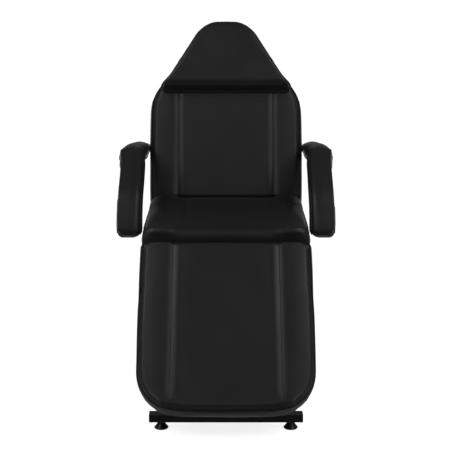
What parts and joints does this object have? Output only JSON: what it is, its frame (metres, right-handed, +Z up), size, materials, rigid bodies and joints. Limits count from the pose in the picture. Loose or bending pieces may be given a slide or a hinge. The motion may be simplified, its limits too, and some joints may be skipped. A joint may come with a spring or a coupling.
{
  "type": "beauty chair",
  "caption": "Reclining beauty chair with a padded seat, back and legrest, head pillow and drooping armrests, on a pedal-pumped lift column and a floor frame.",
  "frame": {"origin": "on the floor, under the middle of the chair's box", "axes": "+Z up, -Y the way a person sitting in it faces, +X to the right of a viewer in front"},
  "size_m": [0.7996, 1.2805, 1.2625],
  "materials": {
    "leatherette": "fine-grained satin",
    "black_paint": "satin powder coat",
    "zinc_steel": "zinc plated",
    "hard_chrome": "ground and plated",
    "grey_iron": "painted casting",
    "black_plastic": "moulded",
    "black_rubber": "ribbed",
    "plywood": "black-stained ply",
    "hook_and_loop": "woven"
  },
  "bodies": {
    "base": {"front_crossbar": "black_paint", "rear_crossbar": "black_paint", "side_rails": "black_paint", "crossbar_caps": "black_plastic", "column_plate": "black_paint", "plate_bolts": "zinc_steel", "base_column": "black_paint", "column_glides": "black_plastic", "jack_cylinder": "grey_iron", "jack_gland": "grey_iron", "pump_block": "grey_iron", "pedal_pin": "zinc_steel", "foot_locknuts": "zinc_steel"},
    "lift": {"lift_sleeve": "black_paint", "jack_ram": "hard_chrome", "seat_side_tubes": "black_paint", "seat_cross_tubes": "black_paint", "seat_hinge_plates": "black_paint", "seat_hinge_lugs": "black_paint", "back_hinge_shaft": "zinc_steel", "leg_hinge_shaft": "zinc_steel", "seat_board": "plywood", "seat_cushion": "leatherette", "spring_anchors": "black_paint", "spring_anchor_pins": "zinc_steel", "lever_brackets": "black_paint"},
    "backrest": {"back_side_tubes": "black_paint", "back_cross_tubes": "black_paint", "back_hinge_ears": "black_paint", "back_board": "plywood", "back_cushion": "leatherette", "armrest_axles": "black_paint", "back_spring_clevis": "black_paint"},
    "pillow": {"head_pillow": "leatherette", "pillow_strips": "hook_and_loop"},
    "armrest_left": {"armrest_left_pad": "leatherette", "armrest_left_core": "black_paint"},
    "armrest_right": {"armrest_right_pad": "leatherette", "armrest_right_core": "black_paint"},
    "legrest": {"leg_side_tubes": "black_paint", "leg_cross_tubes": "black_paint", "leg_hinge_ears": "black_paint", "leg_board": "plywood", "leg_cushion": "leatherette", "leg_spring_clevis": "black_paint"},
    "back_spring_tube": {"back_spring_cylinder": "black_paint"},
    "back_spring_piston": {"back_spring_rod": "hard_chrome"},
    "leg_spring_tube": {"leg_spring_cylinder": "black_paint"},
    "leg_spring_piston": {"leg_spring_rod": "hard_chrome"},
    "pedal": {"pedal_lever": "black_paint", "pedal_pad": "black_rubber"},
    "plunger": {"pump_plunger": "zinc_steel"},
    "recline_handle": {"recline_lever": "zinc_steel", "recline_lever_grip": "black_plastic"},
    "legrest_handle": {"legrest_lever": "zinc_steel", "legrest_lever_grip": "black_plastic"},
    "front_left_foot": {"front_left_foot": "black_plastic"},
    "front_right_foot": {"front_right_foot": "black_plastic"},
    "rear_left_foot": {"rear_left_foot": "black_plastic"},
    "rear_right_foot": {"rear_right_foot": "black_plastic"}
  },
  "joints": [
    {"name": "lift_slide", "type": "slide", "parent": "base", "child": "lift", "axis": [0, 0, 1], "range_m": [0, 0.18]},
    {"name": "recline", "type": "hinge", "parent": "lift", "child": "backrest", "pos_m": [0, 0.3754, 0.565], "axis": [-1, 0, 0], "range_deg": [0, 72]},
    {"name": "legrest_raise", "type": "hinge", "parent": "lift", "child": "legrest", "pos_m": [0, -0.1476, 0.502], "axis": [-1, 0, 0], "range_deg": [0, 45]},
    {"name": "pillow_off", "type": "slide", "parent": "backrest", "child": "pillow", "axis": [0, -0.9511, 0.309], "range_m": [0, 0.12]},
    {"name": "armrest_left_swing", "type": "hinge", "parent": "backrest", "child": "armrest_left", "pos_m": [-0.3265, 0.51153, 0.77522], "axis": [-1, 0, 0], "range_deg": [0, 90]},
    {"name": "armrest_right_swing", "type": "hinge", "parent": "backrest", "child": "armrest_right", "pos_m": [0.3265, 0.51153, 0.77522], "axis": [-1, 0, 0], "range_deg": [0, 90]},
    {"name": "back_spring_swing", "type": "hinge", "parent": "lift", "child": "back_spring_tube", "pos_m": [0.11, 0.0369, 0.45], "axis": [1, 0, 0], "range_deg": [0, 0.802]},
    {"name": "back_spring_stroke", "type": "slide", "parent": "back_spring_tube", "child": "back_spring_piston", "axis": [0, 0.9924, 0.1229], "range_m": [-0.10323, 0]},
    {"name": "leg_spring_swing", "type": "hinge", "parent": "lift", "child": "leg_spring_tube", "pos_m": [-0.11, 0.1719, 0.44], "axis": [-1, 0, 0], "range_deg": [0, 10.15]},
    {"name": "leg_spring_stroke", "type": "slide", "parent": "leg_spring_tube", "child": "leg_spring_piston", "axis": [0, -0.997, -0.0779], "range_m": [0, 0.04774]},
    {"name": "pedal_press", "type": "hinge", "parent": "base", "child": "pedal", "pos_m": [0, 0.1714, 0.154], "axis": [-1, 0, 0], "range_deg": [0, 10], "stiffness_Nm_per_rad": 20, "springref_deg": -8.59},
    {"name": "plunger_stroke", "type": "slide", "parent": "base", "child": "plunger", "axis": [0, 0, -1], "range_m": [0, 0.00771]},
    {"name": "recline_release", "type": "hinge", "parent": "lift", "child": "recline_handle", "pos_m": [0.2, 0.0794, 0.473], "axis": [0, -1, 0], "range_deg": [0, 12], "stiffness_Nm_per_rad": 1.5, "springref_deg": -11.46},
    {"name": "legrest_release", "type": "hinge", "parent": "lift", "child": "legrest_handle", "pos_m": [-0.2, 0.0794, 0.473], "axis": [0, 1, 0], "range_deg": [0, 12], "stiffness_Nm_per_rad": 1.5, "springref_deg": -11.46},
    {"name": "front_left_foot_screw", "type": "hinge", "parent": "base", "child": "front_left_foot", "pos_m": [-0.211, -0.4516, 0], "axis": [0, 0, 1], "continuous": true},
    {"name": "front_right_foot_screw", "type": "hinge", "parent": "base", "child": "front_right_foot", "pos_m": [0.211, -0.4516, 0], "axis": [0, 0, 1], "continuous": true},
    {"name": "rear_left_foot_screw", "type": "hinge", "parent": "base", "child": "rear_left_foot", "pos_m": [-0.211, 0.4784, 0], "axis": [0, 0, 1], "continuous": true},
    {"name": "rear_right_foot_screw", "type": "hinge", "parent": "base", "child": "rear_right_foot", "pos_m": [0.211, 0.4784, 0], "axis": [0, 0, 1], "continuous": true}
  ],
  "couplings": [
    {"joint": "back_spring_swing", "follows": "recline", "ratio": 0.0097494},
    {"joint": "back_spring_stroke", "follows": "recline", "m_per_rad": -0.081753},
    {"joint": "leg_spring_swing", "follows": "legrest_raise", "ratio": 0.22335},
    {"joint": "leg_spring_stroke", "follows": "legrest_raise", "m_per_rad": 0.060151},
    {"joint": "plunger_stroke", "follows": "pedal_press", "m_per_rad": 0.043}
  ]
}
